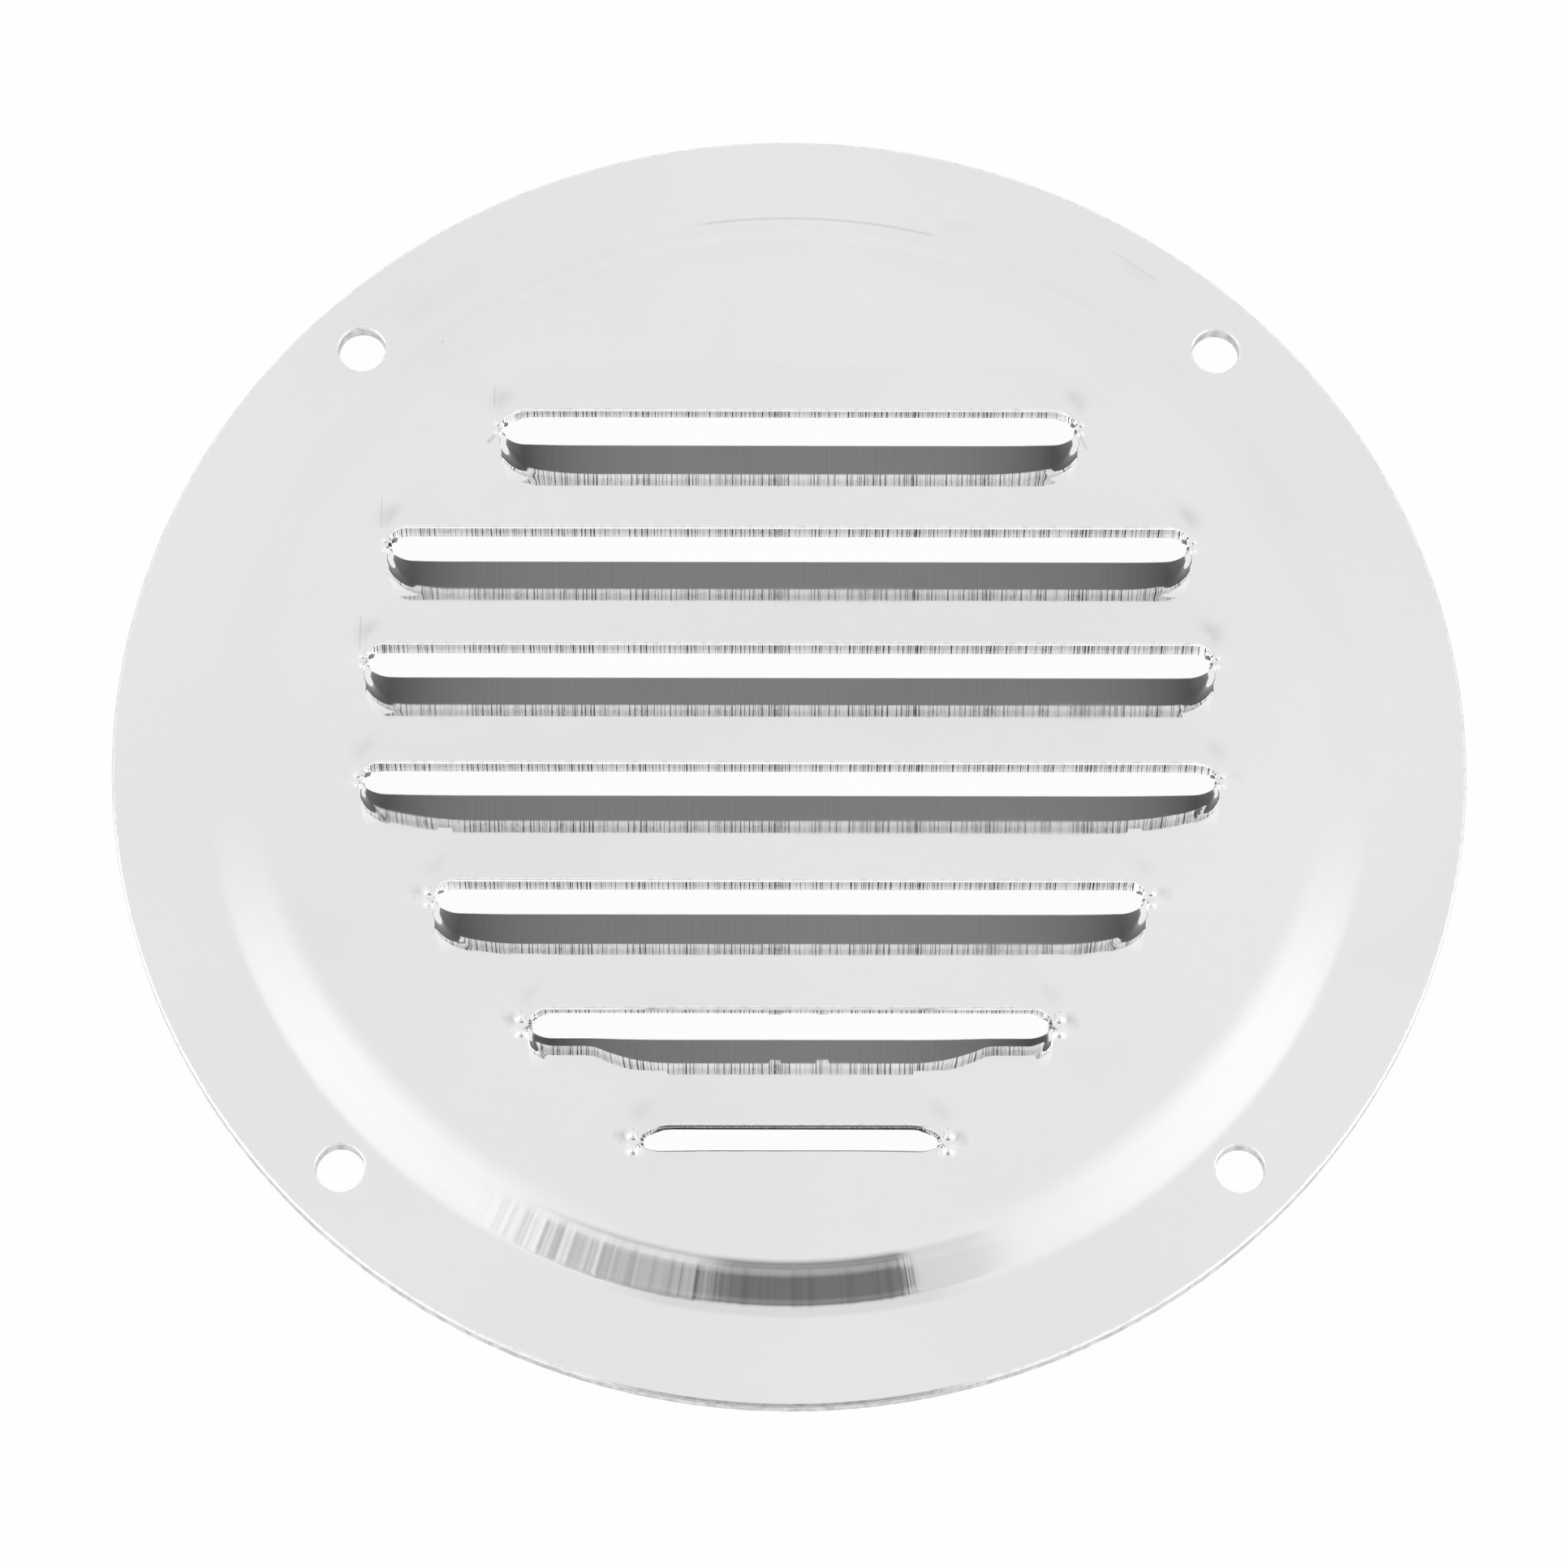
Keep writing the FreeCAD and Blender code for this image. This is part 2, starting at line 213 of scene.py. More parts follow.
def beads(x, y):
    """Extra height of the pinched metal round the ends of the slits."""
    height = np.zeros_like(x)
    for number, (place, half) in enumerate(zip(SLIT_Y, SLIT_HALF)):
        out = np.abs(x) - half - BEAD_OUT[number]
        for side in (-1, 1):
            off = y - place - side * BEAD_APART[number]
            height += BEAD_HIGH[number] * np.exp(-(out ** 2 + off ** 2) / BEAD_WIDE[number] ** 2)
        along = out / PINCH_LONG
        off = (y - place) / PINCH_WIDE
        height -= PINCH_DEEP * np.exp(-along ** 2 - off ** 2)
    return height


def pressed(x, y, louvre, part):
    """Where points of the flat sheet's front face go when the pan and the louvres are pressed."""
    z = pan_height(np.hypot(x, y)) + beads(x, y)
    inside = SLIT_HALF[louvre] - np.abs(x)
    off = (y - SLIT_Y[louvre]) * part
    edge_end = rounded_end(inside, TIP_TAPER)

    up = 1 - off / HOOD_DEPTH
    reach = np.where(x < 0, HOOD_ENDS_LEFT[louvre], HOOD_ENDS_RIGHT[louvre])
    hood_end = HOOD_ROUND * rounded_end(inside, reach) + (1 - HOOD_ROUND) * eased_end(inside, reach)
    over = hood_end - 1 + up
    soft = HOOD_SOFT * np.sqrt(hood_end * (1 - hood_end))
    hood_z = HOOD_RISE * np.where(hood_end < 1, (over + np.hypot(over, soft)) / 2, over)
    hood_y = HOOD_BACK * edge_end * up

    down = 1 - off / LIP_DEPTHS[louvre]
    corner = np.where(off < LIP_WIDEST, LIP_BULGE / LIP_WIDEST ** 2, LIP_CORNER)
    hollow = inside + LIP_BULGE - corner * (off - LIP_WIDEST) ** 2
    share, ease_from = LIP_SHARES[louvre], LIP_EASE_FROM[louvre]
    eased = share + (1 - share) * eased_end(inside - ease_from, LIP_EASE_TO[louvre] - ease_from)
    spread = LIP_END + LIP_FAN * np.clip(off - LIP_WIDEST, 0, None)
    end_wall = (rounded_end(hollow, spread) + eased_end(hollow, spread)) / 2
    lip_end = end_wall * rounded_end(inside + LIP_BULGE, LIP_ROUND) * eased
    lip_z = -LIP_DROPS[louvre] * lip_end * down
    lip_y = -edge_end * (LIP_BACK + LIP_DRAW * (1 - eased)) * down

    z = z + np.where(part > 0, hood_z, 0) + np.where(part < 0, lip_z, 0)
    moved = y + np.where(part > 0, hood_y, 0) + np.where(part < 0, lip_y, 0)
    return np.stack([x, moved, z], 1)


def facing(x, y, louvre, part):
    """Unit normal of the pressed front face at points of the flat sheet."""
    step = 0.02
    across = pressed(x + step, y, louvre, part) - pressed(x - step, y, louvre, part)
    along = pressed(x, y + step, louvre, part) - pressed(x, y - step, louvre, part)
    return unit(np.cross(across, along))


def buffed(normal, part):
    """The front's normals after buffing, which rounds off the ends of the hoods."""
    soft = normal.copy()
    soft[:, 0] = np.where(part > 0, np.clip(soft[:, 0], -HOOD_LEAN, HOOD_LEAN), soft[:, 0])
    return unit(soft)


def unit(vectors):
    return vectors / np.linalg.norm(vectors, axis=1, keepdims=True)


def through_sheet(normal, part):
    """Direction through the sheet to its back. The drawn end walls of hoods and lips are thinner."""
    sideways = np.where(part > 0, TIP_WALL / SHEET, END_WALL_LEAN)
    direction = normal.copy()
    direction[:, 0] = np.clip(direction[:, 0], -sideways, sideways)
    return -unit(direction)


def sheet_at(x, y, louvre, part):
    """Thickness of the sheet, drawn a little thin at a hood's edge and more so round a slit's ends."""
    thin = np.where(part > 0, HOOD_THIN[louvre] * (1 - (y - SLIT_Y[louvre]) / HOOD_DEPTH), 0)
    for place, half in zip(SLIT_Y, SLIT_HALF):
        away = np.hypot(np.abs(x) - half, y - place) / TIP_THIN_REACH
        thin = np.maximum(thin, TIP_THIN * np.exp(-away ** 2))
    return SHEET * (1 - thin)


def pressed_back(x, y, louvre, part):
    """Where the same points of the sheet's back face go, the sheet's thickness behind the front."""
    inward = through_sheet(facing(x, y, louvre, part), part)
    return pressed(x, y, louvre, part) + sheet_at(x, y, louvre, part)[:, None] * inward


def painted_end_shade(x, y):
    """Painted shade above the slits' ends, where the hoods fold down, and beside the large beads."""
    spot = np.zeros(len(x))
    for number, (place, half) in enumerate(zip(SLIT_Y, SLIT_HALF)):
        out, off = np.abs(x) - half, y - place
        above = np.hypot(out + FOLD_SHADE_INSIDE, off - FOLD_SHADE_ABOVE) / FOLD_SHADE_WIDE
        beside = np.hypot(out - BEAD_SHADE_OUT, off - BEAD_SHADE_ABOVE) / BEAD_SHADE_WIDE
        spot += FOLD_SHADE_DARK[number] * np.exp(-above ** 2) + BEAD_SHADE_DARK[number] * np.exp(-beside ** 2)
    return spot


def end_shade(x, louvre, part):
    """How little light reaches under a hood: near 1 close to its ends, fading towards its middle."""
    inside = SLIT_HALF[louvre] - np.abs(x)
    # Painted shade is left off right at the tips.
    unshaded = np.clip((inside - END_UNSHADED) / END_UNSHADED_FADE, 0, 1)
    return np.where(part > 0, unshaded * np.exp(-inside / END_SHADE_REACH), 0)


def painted_end_highlight(normal, x, y, part):
    """Painted highlight: 1 where a lip's end was drawn steeply over the die, fading out round the end, and a
    soft painted glow beside each tip.
    """
    steep = np.clip((np.abs(normal[:, 0]) - STEEP_FROM) / STEEP_RANGE, 0, 1)
    near = np.zeros(len(x))
    halo = np.zeros(len(x))
    for place, half, share in zip(SLIT_Y, SLIT_HALF, HALO_SHARE):
        out, off = np.abs(x) - half, y - place
        away = np.hypot(out - HIGHLIGHT_OUT, off)
        near = np.maximum(near, np.clip(HIGHLIGHT_EDGE - HIGHLIGHT_FADE * away, 0, 1))
        halo += share * np.exp(-((out - HALO_OUT) / HALO_LONG) ** 2 - (off / HALO_WIDE) ** 2)
    steep = steep * np.where(part < 0, 1, np.where(part == 0, near, 0))
    return np.maximum(steep, np.where(part == 0, np.clip(halo, 0, 1), 0))


def smooth_normals(places, triangles):
    """Unit normals at the corners of a surface, averaged over the triangles round each point."""
    a, b, c = (places[triangles[:, corner]] for corner in range(3))
    face = np.cross(b - a, c - a)
    total = np.zeros_like(places)
    for corner in range(3):
        np.add.at(total, triangles[:, corner], face)
    return unit(total)


class CutEdge:
    """A closed cut edge of the flat sheet, going round so that the metal lies on the left."""

    def __init__(self, edge, inward, roll, undercut, run, louvre=0, part=0, hang=0.0):
        count = len(edge)
        self.edge = edge
        self.inward = inward
        self.roll = np.broadcast_to(roll, count)
        self.undercut = np.broadcast_to(undercut, count)
        self.run = run
        self.louvre = np.broadcast_to(louvre, count)
        self.part = np.broadcast_to(part, count)
        self.hang = np.broadcast_to(hang, count)

    def inset(self, distance):
        return self.edge + self.inward * np.reshape(distance, (-1, 1))

    def front(self):
        return self.inset(self.roll)

    def back_across(self):
        """X of the edge at the back of the sheet: the ends of a slit draw in behind."""
        x = self.edge[:, 0]
        if not self.part.any():
            return x
        half = SLIT_HALF[self.louvre]
        return np.sign(x) * (half - np.hypot(half - np.abs(x), TIP_WALL))


def ring(radius, count, centre=(0.0, 0.0), turn=0.0):
    angle = turn + np.arange(count) * 2 * math.pi / count
    return np.stack([centre[0] + radius * np.cos(angle), centre[1] + radius * np.sin(angle)], 1)


def rim_edge(count):
    circle = ring(RIM, count)
    return CutEdge(circle, -circle / RIM, RIM_ROLL, 0.0, np.arange(count) * 2 * math.pi * RIM / count)


def hole_edge(centre, count):
    circle = ring(SCREW_BORE, count, centre)[::-1]
    away = (circle - centre) / SCREW_BORE
    return CutEdge(circle, away, HOLE_ROLL, 0.0, np.arange(count) * 2 * math.pi * SCREW_BORE / count)


def burr_hang(number, x):
    """How far burrs hang below a hood's back edge at places along it."""
    hang = np.zeros_like(x)
    if number == BURR_LOUVRE:
        for place in BURR_PLACES:
            hang += BURR_HANG * (np.abs(x - place) < BURR_HALF + BURR_SIDE / 2)
    return hang


def stations(number):
    """Places along a slit, close together towards its ends, from one end to the other."""
    half = SLIT_HALF[number]
    near = np.array([0, 0.12, 0.27, 0.45, 0.65, 0.9, 1.2, 1.5, 1.85, 2.25, 2.7, 3.2, 3.8, 4.5, 5.3, 6.2, 7.2])
    rest, pitch = half - near[-1], 1.4
    middle = np.linspace(-rest, rest, 2 * round(rest / pitch) + 1)
    places = np.concatenate([near - half, middle[1:-1], (half - near)[::-1]])
    if number == BURR_LOUVRE:
        foot = BURR_HALF + BURR_SIDE
        burrs = np.concatenate([place + np.array([-foot, -BURR_HALF, 0, BURR_HALF, foot])
                                for place in BURR_PLACES])
        clear = np.abs(places[:, None] - burrs).min(1) > 1.5 * BURR_SIDE
        places = np.sort(np.concatenate([places[clear], burrs]))
    return places


def slit_edge(number):
    """Both sides of one slit: the hood's side from left to right, then the lip's side back again."""
    place, half = SLIT_Y[number], SLIT_HALF[number]
    x = stations(number)
    ends = np.clip((half - np.abs(x)) / TIP_TAPER, TIP_LEAST, 1)
    upper = np.stack([x, np.full_like(x, place)], 1)
    lower = upper[-2:0:-1]
    edge = np.concatenate([upper, lower])
    side = np.concatenate([np.ones(len(upper)), -np.ones(len(lower))])
    inward = np.stack([np.zeros(len(edge)), side], 1)
    taper = np.concatenate([ends, ends[-2:0:-1]])
    hood_side = np.where(side > 0, taper, 0.0)
    undercut = HOOD_UNDERCUTS[number] * hood_side
    hang = burr_hang(number, edge[:, 0]) * hood_side
    run = edge[:, 0].copy()
    return CutEdge(edge, inward, SLIT_ROLL * taper, undercut, run, number, side.astype(int), hang)


def hole_centres():
    return ring(SCREW_CIRCLE, SCREW_COUNT, turn=SCREW_ANGLE)


def louvre_points(number):
    """Points over one louvre's band of the sheet, closer together near the slit, its ends and the bends."""
    place, half = SLIT_Y[number], SLIT_HALF[number]
    last = number == len(SLIT_Y) - 1
    hood_rows = [0.55, 0.95, 1.4, 1.9, 2.5, 3.1, 3.7, 4.3, 4.9, 5.5, 6.1]
    lip_rows = np.concatenate([[0.55, 0.95, 1.4], np.arange(1.8, LIP_DEPTHS[number] - 0.2, 0.4)])
    lip_rows = list(lip_rows) + ([] if last else [LIP_DEPTHS[number]])
    rows = np.array(hood_rows[::-1] + [-off for off in lip_rows])
    if number == 0:
        rows = np.concatenate([[HOOD_DEPTH + 0.5, HOOD_DEPTH], rows])
    gaps = [0.15, 0.32, 0.5, 0.75, 1.2, 1.8, 2.6, 3.6, 4.8, 6.2, 7.8, 9.6, 11.6, 14, 17, 20, 24, 28, 32]
    beyond = half + np.array(gaps)
    x = np.concatenate([-beyond[::-1], stations(number), beyond])
    grid = np.stack(np.meshgrid(x, place + rows), -1).reshape(-1, 2)
    tips = []
    reach, below, fine, apart, clearance = 1.5, 3.0, 0.15, 0.05, 0.1
    fine_across = np.arange(-reach, reach + fine / 2, fine)
    fine_along = np.arange(-below, reach + fine / 2, fine)
    for side in (-1, 1):
        tip = np.array([side * half, place])
        patch = tip + np.stack(np.meshgrid(fine_across, fine_along), -1).reshape(-1, 2)
        across, along = (grid - tip).T
        beside = np.abs(across) > reach + apart
        grid = grid[beside | (along > reach + apart) | (along < -below - apart)]
        clear = np.abs(patch[:, 0]) > half + clearance
        clear |= np.abs(patch[:, 1] - place) > SLIT_ROLL + clearance
        tips.append(patch[clear])
    return np.concatenate([grid] + tips)


def sheet_points():
    """All points of the flat sheet away from its cut edges."""
    inner = PLATEAU - 0.6
    cap_half, cap_step, row_step = 46.0, 2.0, 1.8
    louvres = np.concatenate([louvre_points(number) for number in range(len(SLIT_Y))])
    top, bottom = SLIT_Y[0] + HOOD_DEPTH + 2, SLIT_Y[-1] - LIP_DEPTHS[-1] - 1
    spread = np.arange(-cap_half, cap_half + cap_step / 2, cap_step)
    caps = [np.stack(np.meshgrid(spread, rows), -1).reshape(-1, 2)
            for rows in (np.arange(top, inner, row_step), np.arange(bottom, -inner, -row_step))]
    flat = np.concatenate([louvres] + caps)
    flat = flat[np.hypot(*flat.T) < inner - 0.4]
    shoulder = np.linspace(PLATEAU, PLATEAU + SHOULDER_BEND * math.sin(WALL_ANGLE), 9)
    foot = np.linspace(CREASE - FOOT_BEND * math.sin(WALL_ANGLE), CREASE, 6)
    wall = np.linspace(shoulder[-1], foot[0], 5)[1:-1]
    flange = [CREASE + 0.5, 56.6, 57.6, 58.6, 59.6, 60.6, 61.6, 62.4, RIM - RIM_ROLL - 0.2]
    radii = np.concatenate([[inner], shoulder, wall, foot, flange])
    rings = np.concatenate([ring(radius, ROUND_SIDES) for radius in radii])
    for centre in hole_centres():
        rings = rings[np.hypot(*(rings - centre).T) > SCREW_BORE + HOLE_ROLL + 1.0]
    around = [ring(SCREW_BORE + HOLE_ROLL + gap, HOLE_SIDES, centre)
              for centre in hole_centres() for gap in (0.3, 0.7)]
    return np.concatenate([flat, rings] + around)


def cut_out(points, edges):
    """Triangles of the flat sheet between its cut edges. The edges' points come first, in order."""
    starts = np.cumsum([0] + [len(edge.edge) for edge in edges])
    lines = []
    owner = np.full(len(points), -1)
    for number, (start, stop) in enumerate(zip(starts[:-1], starts[1:])):
        around = list(range(start, stop))
        lines += list(zip(around, around[1:] + around[:1]))
        owner[start:stop] = number
    flat = [Vector(point) for point in points.tolist()]
    _, _, faces, origins, _, _ = geometry.delaunay_2d_cdt(flat, lines, [], 0, 1e-7, True)
    first = [origin[0] for origin in origins]
    triangles = np.array([[first[corner] for corner in face] for face in faces])
    owners = owner[triangles]
    inner_edge = (owners[:, 0] > 0) & (owners[:, 0] == owners[:, 1]) & (owners[:, 1] == owners[:, 2])
    triangles = triangles[~inner_edge]
    a, b, c = (points[triangles[:, corner]] for corner in range(3))
    area = (b[:, 0] - a[:, 0]) * (c[:, 1] - a[:, 1]) - (b[:, 1] - a[:, 1]) * (c[:, 0] - a[:, 0])
    triangles[area < 0] = triangles[area < 0][:, ::-1]
    return triangles


FRONT, ROLLED, SHEARED, BLANKED, BACK = range(5)


class CoverMesh:
    """The cover's mesh as it is put together: points with their measures, and faces with their normals."""

    def __init__(self):
        self.count = 0
        self.places = []
        self.measures = {"edge_run": [], "edge_depth": [], "drawn": [], "end_shade": []}
        self.faces, self.normals, self.finishes = [], [], []

    def add_points(self, places, **measures):
        """Adds points with what is measured at them, and gives their numbers."""
        numbers = self.count + np.arange(len(places))
        self.count += len(places)
        self.places.append(places)
        for name, levels in self.measures.items():
            levels.append(np.broadcast_to(measures.get(name, 0.0), len(places)))
        return numbers

    def add_faces(self, corners, normals, finish):
        """Adds faces of one finish by the numbers of their corners, with the normals there."""
        self.faces += corners.tolist()
        self.normals.append(normals.reshape(-1, 3))
        self.finishes.append(np.full(len(corners), finish, np.int32))

    def build(self, name):
        mesh = bpy.data.meshes.new(name)
        mesh.from_pydata((np.concatenate(self.places) * MM).tolist(), [], self.faces)
        mesh.polygons.foreach_set("material_index", np.concatenate(self.finishes))
        mesh.polygons.foreach_set("use_smooth", np.ones(len(self.faces), bool))
        for measure, levels in self.measures.items():
            kept = mesh.attributes.new(measure, "FLOAT", "POINT")
            kept.data.foreach_set("value", np.concatenate(levels))
        mesh.normals_split_custom_set(np.concatenate(self.normals).tolist())
        mesh.update()
        return mesh


def cut_edges():
    """All cut edges of the flat sheet, the rim first."""
    holes = [hole_edge(centre, HOLE_SIDES) for centre in hole_centres()]
    slits = [slit_edge(number) for number in range(len(SLIT_Y))]
    return [rim_edge(ROUND_SIDES)] + holes + slits


def add_edge(cover, edge, front_points, front_normal, back_points, back):
    """Closes the sheet along a cut edge: two strips of roll, then the cut face down to the back."""
    rows = [front_points]
    shallow, full = ROLL_SHARE * edge.roll, edge.roll
    for inset, depth in ((shallow, shallow), (0 * full, full)):
        spot = edge.inset(inset)
        inward = through_sheet(facing(*spot.T, edge.louvre, edge.part), edge.part)
        places = pressed(*spot.T, edge.louvre, edge.part) + depth[:, None] * inward
        rows.append(cover.add_points(places, edge_run=edge.run))
    rows.append(back_points)

    on_hood = edge.part[:, None] > 0
    face_out = unit(np.cross(back - places, np.roll(places, -1, 0) - np.roll(places, 1, 0)))
    rolled = unit(front_normal * np.where(on_hood, ROLL_LEAN, 1.0) + face_out)
    under_roll = np.where(on_hood, rolled, face_out)
    cut = SHEARED if edge.part.any() else BLANKED
    strips = ((ROLLED, front_normal, rolled), (ROLLED, rolled, under_roll), (cut, face_out, face_out))
    for upper, lower, (finish, near, far) in zip(rows[:-1], rows[1:], strips):
        corners = np.stack([upper, lower, np.roll(lower, -1), np.roll(upper, -1)], 1)
        normals = np.stack([near, far, np.roll(far, -1, 0), np.roll(near, -1, 0)], 1)
        cover.add_faces(corners, normals, finish)


def press_cover():
    """The pressed sheet as one closed mesh: polished front, dull back, and the cut edges between them."""
    edges = cut_edges()
    inner = sheet_points()
    inner_louvre, inner_part = louvre_of(*inner.T)
    louvre = np.concatenate([edge.louvre for edge in edges] + [inner_louvre])
    part = np.concatenate([edge.part for edge in edges] + [inner_part])
    run = np.concatenate([edge.run for edge in edges] + [np.zeros(len(inner))])
    flat = np.concatenate([edge.front() for edge in edges] + [inner])
    behind = np.concatenate([edge.inset(edge.undercut) for edge in edges] + [inner])
    triangles = cut_out(flat, edges)
    turned = triangles[:, ::-1]

    front = pressed(*flat.T, louvre, part)
    front_normal = buffed(facing(*flat.T, louvre, part), part)
    back = pressed_back(*behind.T, louvre, part)
    edge_total = len(flat) - len(inner)
    back[:edge_total, 0] = np.concatenate([edge.back_across() for edge in edges])
    back[:edge_total, 2] -= np.concatenate([edge.hang for edge in edges])
    back_normal = smooth_normals(back, turned)

    cover = CoverMesh()
    drawn = painted_end_highlight(front_normal, *flat.T, part)
    front_points = cover.add_points(front, edge_run=run, drawn=drawn, end_shade=painted_end_shade(*flat.T))
    under_hood = end_shade(behind[:, 0], louvre, part)
    back_points = cover.add_points(back, edge_run=run, edge_depth=1.0, end_shade=under_hood)
    cover.add_faces(front_points[triangles], front_normal[triangles], FRONT)
    cover.add_faces(back_points[turned], back_normal[turned], BACK)
    start = 0
    for edge in edges:
        span = slice(start, start + len(edge.edge))
        add_edge(cover, edge, front_points[span], front_normal[span], back_points[span], back[span])
        start = span.stop
    return cover.build("pressed_cover")


class Value:
    """A number that varies over a surface. Arithmetic on it adds Math nodes."""

    def __init__(self, finish, socket):
        self.finish = finish
        self.socket = socket

    def _math(self, operation, first, second):
        return self.finish.add("ShaderNodeMath", {"operation": operation}, {0: first, 1: second})

    def __add__(self, other):
        return self._math("ADD", self, other)

    def __radd__(self, other):
        return self._math("ADD", other, self)

    def __sub__(self, other):
        return self._math("SUBTRACT", self, other)

    def __rsub__(self, other):
        return self._math("SUBTRACT", other, self)

    def __mul__(self, other):
        return self._math("MULTIPLY", self, other)

    def __rmul__(self, other):
        return self._math("MULTIPLY", other, self)

    def __truediv__(self, other):
        return self._math("DIVIDE", self, other)

    def __rtruediv__(self, other):
        return self._math("DIVIDE", other, self)

    def __pow__(self, other):
        return self._math("POWER", self, other)

    def __rpow__(self, other):
        return self._math("POWER", other, self)

    def __abs__(self):
        return self.finish.add("ShaderNodeMath", {"operation": "ABSOLUTE"}, {0: self})


class Finish:
    """A node tree of a material or of the world."""

    def __init__(self, owner):
        owner.use_nodes = True
        self.tree = owner.node_tree
        self.tree.nodes.clear()

    def add(self, kind, settings=None, sockets=None, output=0):
        """A node of this type: its settings first, then the values or links of its sockets."""
        node = self.tree.nodes.new(kind)
        for name, setting in (settings or {}).items():
            setattr(node, name, setting)
        for name, given in (sockets or {}).items():
            if isinstance(given, Value):
                self.tree.links.new(given.socket, node.inputs[name])
            else:
                node.inputs[name].default_value = given
        return Value(self, node.outputs[output]) if len(node.outputs) else node

    def between(self, value, low, high):
        """0 below the low value and 1 above the high one, with a smooth step in between."""
        limits = {"Value": value, "From Min": low, "From Max": high}
        return self.add("ShaderNodeMapRange", {"interpolation_type": "SMOOTHSTEP"}, limits)

    def band(self, value, rise, fall):
        """1 inside a range, rising over the first pair of limits and falling over the second."""
        return self.between(value, *rise) * (1 - self.between(value, *fall))

    def noise(self, where, scale, detail=2.0, roughness=0.5):
        sockets = {"Vector": where, "Scale": scale, "Detail": detail, "Roughness": roughness}
        return self.add("ShaderNodeTexNoise", None, sockets)

    def streaks(self, along, scale, detail=2.0):
        """Noise along one line only, for marks that run straight across it."""
        sockets = {"W": along, "Scale": scale, "Detail": detail}
        return self.add("ShaderNodeTexNoise", {"noise_dimensions": "1D"}, sockets)

    def shade(self, dark, light, factor):
        colours = {"Factor": factor, "A": (*dark, 1), "B": (*light, 1)}
        return self.add("ShaderNodeMix", {"data_type": "RGBA"}, colours, output="Result")

    def place_mm(self):
        """Position on the piece, in millimetres."""
        spot = self.add("ShaderNodeTexCoord", output="Object")
        return self.add("ShaderNodeVectorMath", {"operation": "SCALE"}, {0: spot, "Scale": 1 / MM})

    def measure(self, name):
        """A number kept at the points of the mesh."""
        return self.add("ShaderNodeAttribute", {"attribute_name": name}, output="Fac")

    def line_mark(self, x, y, start, stop, width):
        """1 along a short straight mark on the face, fading to 0 at the width from it."""
        across, along = stop[0] - start[0], stop[1] - start[1]
        length = math.hypot(across, along)
        right, ahead = across / length, along / length
        from_x, from_y = x - start[0], y - start[1]
        limits = {"Value": from_x * right + from_y * ahead, "Min": 0.0, "Max": length}
        run = self.add("ShaderNodeClamp", None, limits)
        away = ((from_x - run * right) ** 2 + (from_y - run * ahead) ** 2) ** 0.5
        return 1 - self.between(away, 0.3 * width, width)

    def parts_of(self, vector):
        return [self.add("ShaderNodeSeparateXYZ", None, {"Vector": vector}, output) for output in "XYZ"]

    def bump(self, height, distance, strength=1.0):
        sockets = {"Height": height, "Distance": distance, "Strength": strength}
        return self.add("ShaderNodeBump", None, sockets)

    def metal(self, sockets):
        """Steel with these sockets, as the material's surface."""
        steel = self.add("ShaderNodeBsdfPrincipled", None, {"Metallic": 1.0, **sockets})
        self.add("ShaderNodeOutputMaterial", None, {"Surface": steel})


def new_finish(name):
    material = bpy.data.materials.new(name)
    return material, Finish(material)


# Marks on the face: both ends, the width and how dark each is. The first three are painted shade along the
# folds at the left ends of the top three hoods; the next two, a tear and a crease by the first slit, are
# partly painted shade; the rest are marks and faint smears that the tools left.
FACE_MARKS_AND_FOLD_SHADE = (
    ((-28.1, 35.8), (-28.1, 33.6), 0.09, 0.3),
    ((-38.6, 24.1), (-38.6, 21.1), 0.09, 0.3),
    ((-40.3, 12.0), (-40.3, 8.6), 0.09, 0.3),
    ((-27.5, 31.2), (-28.6, 29.9), 0.25, 0.4),
    ((27.5, 31.0), (28.2, 29.4), 0.2, 0.3),
    ((-36.5, 44.5), (-31.0, 49.0), 1.6, 0.04),
    ((-33.3, 41.5), (-33.3, 41.45), 0.2, 0.4),
    ((15.5, 54.4), (17.5, 54.2), 1.0, 0.05),
    ((31.5, 51.6), (35.5, 48.6), 0.15, 0.12),
    ((33.0, 50.2), (35.2, 48.4), 1.1, 0.05),
)


